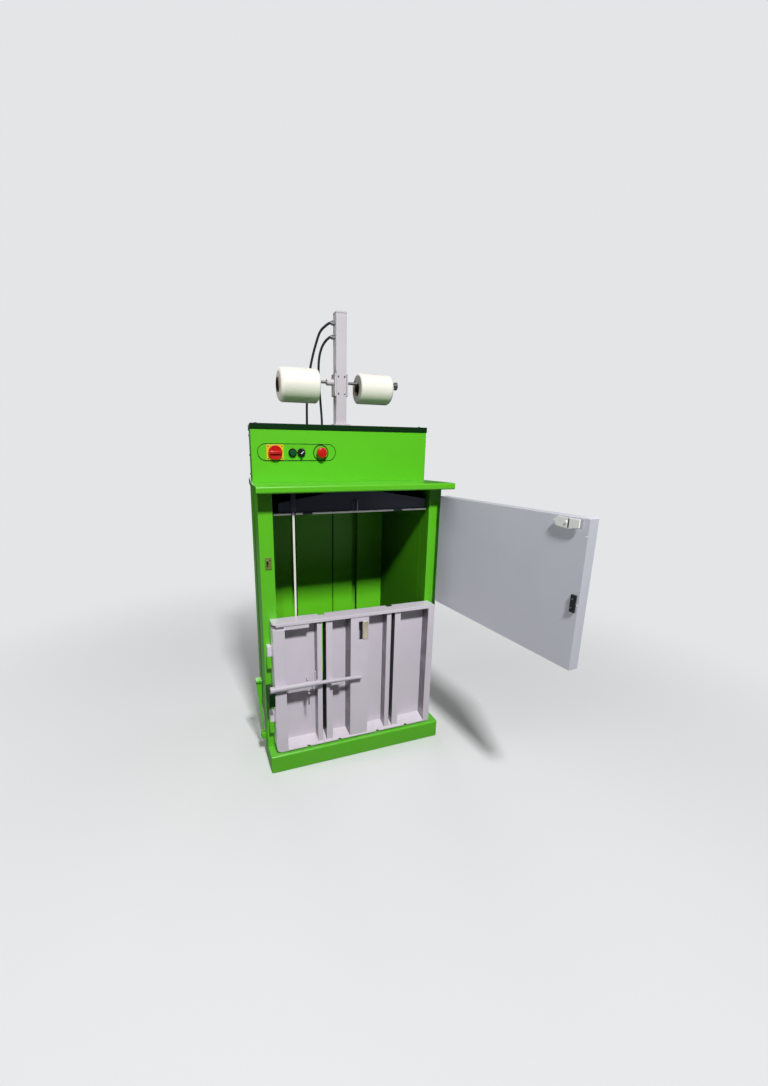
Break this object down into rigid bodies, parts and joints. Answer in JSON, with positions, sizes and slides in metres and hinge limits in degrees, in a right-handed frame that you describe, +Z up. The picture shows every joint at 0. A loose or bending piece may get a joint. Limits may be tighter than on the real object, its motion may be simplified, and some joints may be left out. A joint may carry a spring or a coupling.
{
  "type": "recycling baler",
  "caption": "Small upright waste baler: two side-hung doors, hydraulic press plate, cylinder tower with strap rolls and a header with controls.",
  "frame": {"origin": "on the floor, at the centre of the base's underside", "axes": "+Z up, -Y towards the doors, +X to the right as seen from the doors"},
  "size_m": [0.7764, 1.147, 1.65],
  "materials": {
    "green_paint": "gloss",
    "dark_green_paint": "gloss",
    "pale_paint": "satin",
    "grey_paint": "satin",
    "dark_paint": "satin",
    "white_paint": "gloss",
    "plain_steel": "brushed",
    "rod_chrome": "polished",
    "hose_rubber": "matt",
    "white_band": "matt",
    "core_board": "matt",
    "black_plastic": "matt",
    "grey_plastic": "matt",
    "yellow_plastic": "gloss",
    "red_plastic": "gloss",
    "green_plastic": "gloss"
  },
  "bodies": {
    "baler_frame": {"base_plinth": "green_paint", "chamber_floor": "green_paint", "left_post": "green_paint", "right_post": "green_paint", "left_side_wall": "green_paint", "right_side_wall": "green_paint", "rear_wall": "green_paint", "top_flange": "green_paint", "header_cover": "green_paint", "header_rear_panel": "green_paint", "header_lid": "dark_green_paint", "cylinder_mount": "plain_steel", "cylinder_shroud": "grey_paint", "tower_cap": "grey_paint", "tower_foot": "pale_paint", "cylinder_barrel": "plain_steel", "rod_gland": "plain_steel", "roll_bracket": "grey_paint", "roll_axles": "plain_steel", "hose_fittings": "plain_steel", "hose_upper": "hose_rubber", "hose_lower": "hose_rubber", "valve_block": "plain_steel", "pump_motor": "dark_paint", "oil_tank": "dark_paint", "relay_box": "grey_plastic", "cable_gland": "black_plastic", "control_field": "green_paint", "contact_blocks": "black_plastic", "switch_plate": "yellow_plastic", "button_bezels": "black_plastic", "stop_ring": "black_plastic", "strap_left": "white_band", "lower_hinge_posts": "green_paint", "lock_keeper": "dark_green_paint", "door_rests": "green_paint", "upper_hinge_posts": "green_paint", "hinge_pins": "plain_steel", "interlock_switch": "grey_plastic", "lever_bracket": "green_paint", "frame_bolts": "plain_steel"},
    "upper_door_leaf": {"upper_door": "pale_paint", "interlock_key": "black_plastic"},
    "upper_latch": {"door_latch": "white_paint"},
    "lower_door_leaf": {"lower_door": "pale_paint", "lock_guides": "pale_paint"},
    "lock_bolt": {"lock_bar": "pale_paint"},
    "hanging_pin": {"lock_pin": "plain_steel"},
    "press": {"platen": "dark_paint", "piston_rod": "rod_chrome"},
    "roll_left": {"strap_roll_left": "white_band", "roll_core_left": "core_board"},
    "roll_right": {"strap_roll_right": "white_band", "roll_core_right": "core_board"},
    "main_switch": {"switch_knob": "red_plastic"},
    "start": {"start_button": "green_plastic"},
    "selector": {"selector_knob": "black_plastic"},
    "stop": {"stop_button": "red_plastic"},
    "ejector": {"ejector_lever": "green_paint"}
  },
  "joints": [
    {"name": "upper_door_hinge", "type": "hinge", "parent": "baler_frame", "child": "upper_door_leaf", "pos_m": [0.345, -0.22, 0.8], "axis": [0, 0, 1], "range_deg": [-93.3, 75]},
    {"name": "upper_latch_turn", "type": "hinge", "parent": "upper_door_leaf", "child": "upper_latch", "pos_m": [0.35888, -0.80818, 0.994], "axis": [0.9983, 0.0576, 0], "range_deg": [-60, 60]},
    {"name": "lower_door_hinge", "type": "hinge", "parent": "baler_frame", "child": "lower_door_leaf", "pos_m": [0.33, -0.214, 0.33], "axis": [0, 0, 1], "range_deg": [0, 110]},
    {"name": "lock_bolt_slide", "type": "slide", "parent": "lower_door_leaf", "child": "lock_bolt", "axis": [1, 0, 0], "range_m": [0, 0.04]},
    {"name": "press_slide", "type": "slide", "parent": "baler_frame", "child": "press", "axis": [0, 0, -1], "range_m": [0, 0.42]},
    {"name": "left_roll_spin", "type": "hinge", "parent": "baler_frame", "child": "roll_left", "pos_m": [-0.1595, -0.02, 1.3983], "axis": [1, 0, 0], "continuous": true},
    {"name": "right_roll_spin", "type": "hinge", "parent": "baler_frame", "child": "roll_right", "pos_m": [0.134, -0.02, 1.3983], "axis": [1, 0, 0], "continuous": true},
    {"name": "main_switch_turn", "type": "hinge", "parent": "baler_frame", "child": "main_switch", "pos_m": [-0.261, -0.083, 1.164], "axis": [0, -1, 0], "range_deg": [-90, 0]},
    {"name": "start_push", "type": "slide", "parent": "baler_frame", "child": "start", "axis": [0, 1, 0], "range_m": [0, 0.004], "stiffness_N_per_m": 400, "springref_m": -0.002},
    {"name": "selector_turn", "type": "hinge", "parent": "baler_frame", "child": "selector", "pos_m": [-0.166, -0.081, 1.164], "axis": [0, -1, 0], "range_deg": [-45, 45]},
    {"name": "stop_push", "type": "slide", "parent": "baler_frame", "child": "stop", "axis": [0, 1, 0], "range_m": [0, 0.004], "stiffness_N_per_m": 600, "springref_m": -0.002},
    {"name": "ejector_hinge", "type": "hinge", "parent": "baler_frame", "child": "ejector", "pos_m": [-0.359, -0.15, 0.092], "axis": [0, -1, 0], "range_deg": [0, 60]},
    {"name": "hanging_pin_swing", "type": "hinge", "parent": "lower_door_leaf", "child": "hanging_pin", "pos_m": [-0.2075, -0.2825, 0.32], "axis": [0, 1, 0], "range_deg": [-30, 30]}
  ]
}
